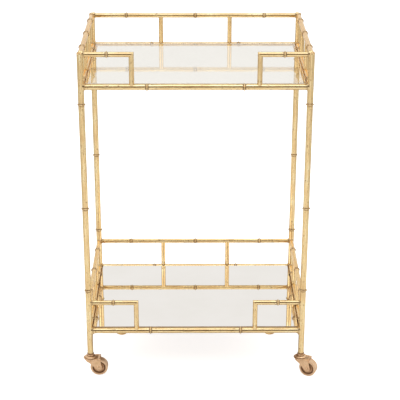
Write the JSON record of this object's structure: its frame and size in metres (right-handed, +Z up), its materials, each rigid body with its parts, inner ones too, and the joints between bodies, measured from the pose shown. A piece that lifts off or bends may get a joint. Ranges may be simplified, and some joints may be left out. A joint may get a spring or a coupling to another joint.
{
  "type": "bar cart",
  "caption": "Two-tier bar cart: gold faux-bamboo tube frame, clear glass upper shelf, mirror lower shelf, low open-fronted galleries, swivel casters.",
  "frame": {"origin": "on the floor at the middle of the cart's outline", "axes": "+X to the right seen from the open front, +Y from the front to the back, +Z up"},
  "size_m": [0.6312, 0.4382, 0.8622],
  "materials": {
    "gold_leaf": "antique gold leaf over steel tube, brown patina in the recesses",
    "clear_glass": "clear float glass, ground edges",
    "mirror": "silvered float glass",
    "backing_board": "thin hardboard, brown",
    "clear_bumper": "clear soft vinyl",
    "caster_metal": "satin champagne gold",
    "caster_collar": "dark antique bronze",
    "axle_metal": "satin champagne gold",
    "bearing_steel": "polished balls",
    "wheel_hub": "brown-gold moulded plastic",
    "tyre": "champagne gold tread, smooth"
  },
  "bodies": {
    "frame": {"front_left_post": "gold_leaf", "front_right_post": "gold_leaf", "rear_left_post": "gold_leaf", "rear_right_post": "gold_leaf", "post_top_caps": "gold_leaf", "lower_front_rail": "gold_leaf", "lower_rear_rail": "gold_leaf", "lower_left_rail": "gold_leaf", "lower_right_rail": "gold_leaf", "lower_gallery_rear_rail": "gold_leaf", "lower_gallery_left_rail": "gold_leaf", "lower_gallery_right_rail": "gold_leaf", "lower_gallery_front_left_rail": "gold_leaf", "lower_gallery_front_right_rail": "gold_leaf", "lower_gallery_corner_uprights": "gold_leaf", "lower_gallery_uprights": "gold_leaf", "upper_front_rail": "gold_leaf", "upper_rear_rail": "gold_leaf", "upper_left_rail": "gold_leaf", "upper_right_rail": "gold_leaf", "upper_gallery_rear_rail": "gold_leaf", "upper_gallery_left_rail": "gold_leaf", "upper_gallery_right_rail": "gold_leaf", "upper_gallery_front_left_rail": "gold_leaf", "upper_gallery_front_right_rail": "gold_leaf", "upper_gallery_corner_uprights": "gold_leaf", "upper_gallery_uprights": "gold_leaf", "upper_ledge_strips": "gold_leaf", "upper_glass_bumpers": "clear_bumper", "upper_glass_shelf": "clear_glass", "lower_ledge_strips": "gold_leaf", "mirror_backing_board": "backing_board", "lower_mirror_shelf": "mirror", "mirror_support_bars": "gold_leaf", "caster_sockets": "caster_collar", "caster_stems": "caster_metal", "caster_swivel_caps": "caster_metal"},
    "front_left_fork": {"front_left_caster_fork": "caster_metal", "front_left_caster_balls": "bearing_steel", "front_left_caster_axle": "axle_metal"},
    "front_left_wheel": {"front_left_caster_hub": "wheel_hub", "front_left_caster_tyre": "tyre"},
    "front_right_fork": {"front_right_caster_fork": "caster_metal", "front_right_caster_balls": "bearing_steel", "front_right_caster_axle": "axle_metal"},
    "front_right_wheel": {"front_right_caster_hub": "wheel_hub", "front_right_caster_tyre": "tyre"},
    "rear_left_fork": {"rear_left_caster_fork": "caster_metal", "rear_left_caster_balls": "bearing_steel", "rear_left_caster_axle": "axle_metal"},
    "rear_left_wheel": {"rear_left_caster_hub": "wheel_hub", "rear_left_caster_tyre": "tyre"},
    "rear_right_fork": {"rear_right_caster_fork": "caster_metal", "rear_right_caster_balls": "bearing_steel", "rear_right_caster_axle": "axle_metal"},
    "rear_right_wheel": {"rear_right_caster_hub": "wheel_hub", "rear_right_caster_tyre": "tyre"}
  },
  "joints": [
    {"name": "front_left_swivel", "type": "hinge", "parent": "frame", "child": "front_left_fork", "pos_m": [-0.272, -0.192, 0.05], "axis": [0, 0, 1], "continuous": true},
    {"name": "front_left_roll", "type": "hinge", "parent": "front_left_fork", "child": "front_left_wheel", "pos_m": [-0.25001, -0.19277, 0.0225], "axis": [0.0349, 0.9994, 0], "continuous": true},
    {"name": "front_right_swivel", "type": "hinge", "parent": "frame", "child": "front_right_fork", "pos_m": [0.272, -0.192, 0.05], "axis": [0, 0, 1], "continuous": true},
    {"name": "front_right_roll", "type": "hinge", "parent": "front_right_fork", "child": "front_right_wheel", "pos_m": [0.29194, -0.2013, 0.0225], "axis": [0.4226, 0.9063, 0], "continuous": true},
    {"name": "rear_left_swivel", "type": "hinge", "parent": "frame", "child": "rear_left_fork", "pos_m": [-0.272, 0.192, 0.05], "axis": [0, 0, 1], "continuous": true},
    {"name": "rear_left_roll", "type": "hinge", "parent": "rear_left_fork", "child": "rear_left_wheel", "pos_m": [-0.29194, 0.2013, 0.0225], "axis": [-0.4226, -0.9063, 0], "continuous": true},
    {"name": "rear_right_swivel", "type": "hinge", "parent": "frame", "child": "rear_right_fork", "pos_m": [0.272, 0.192, 0.05], "axis": [0, 0, 1], "continuous": true},
    {"name": "rear_right_roll", "type": "hinge", "parent": "rear_right_fork", "child": "rear_right_wheel", "pos_m": [0.25001, 0.19277, 0.0225], "axis": [-0.0349, -0.9994, 0], "continuous": true}
  ]
}
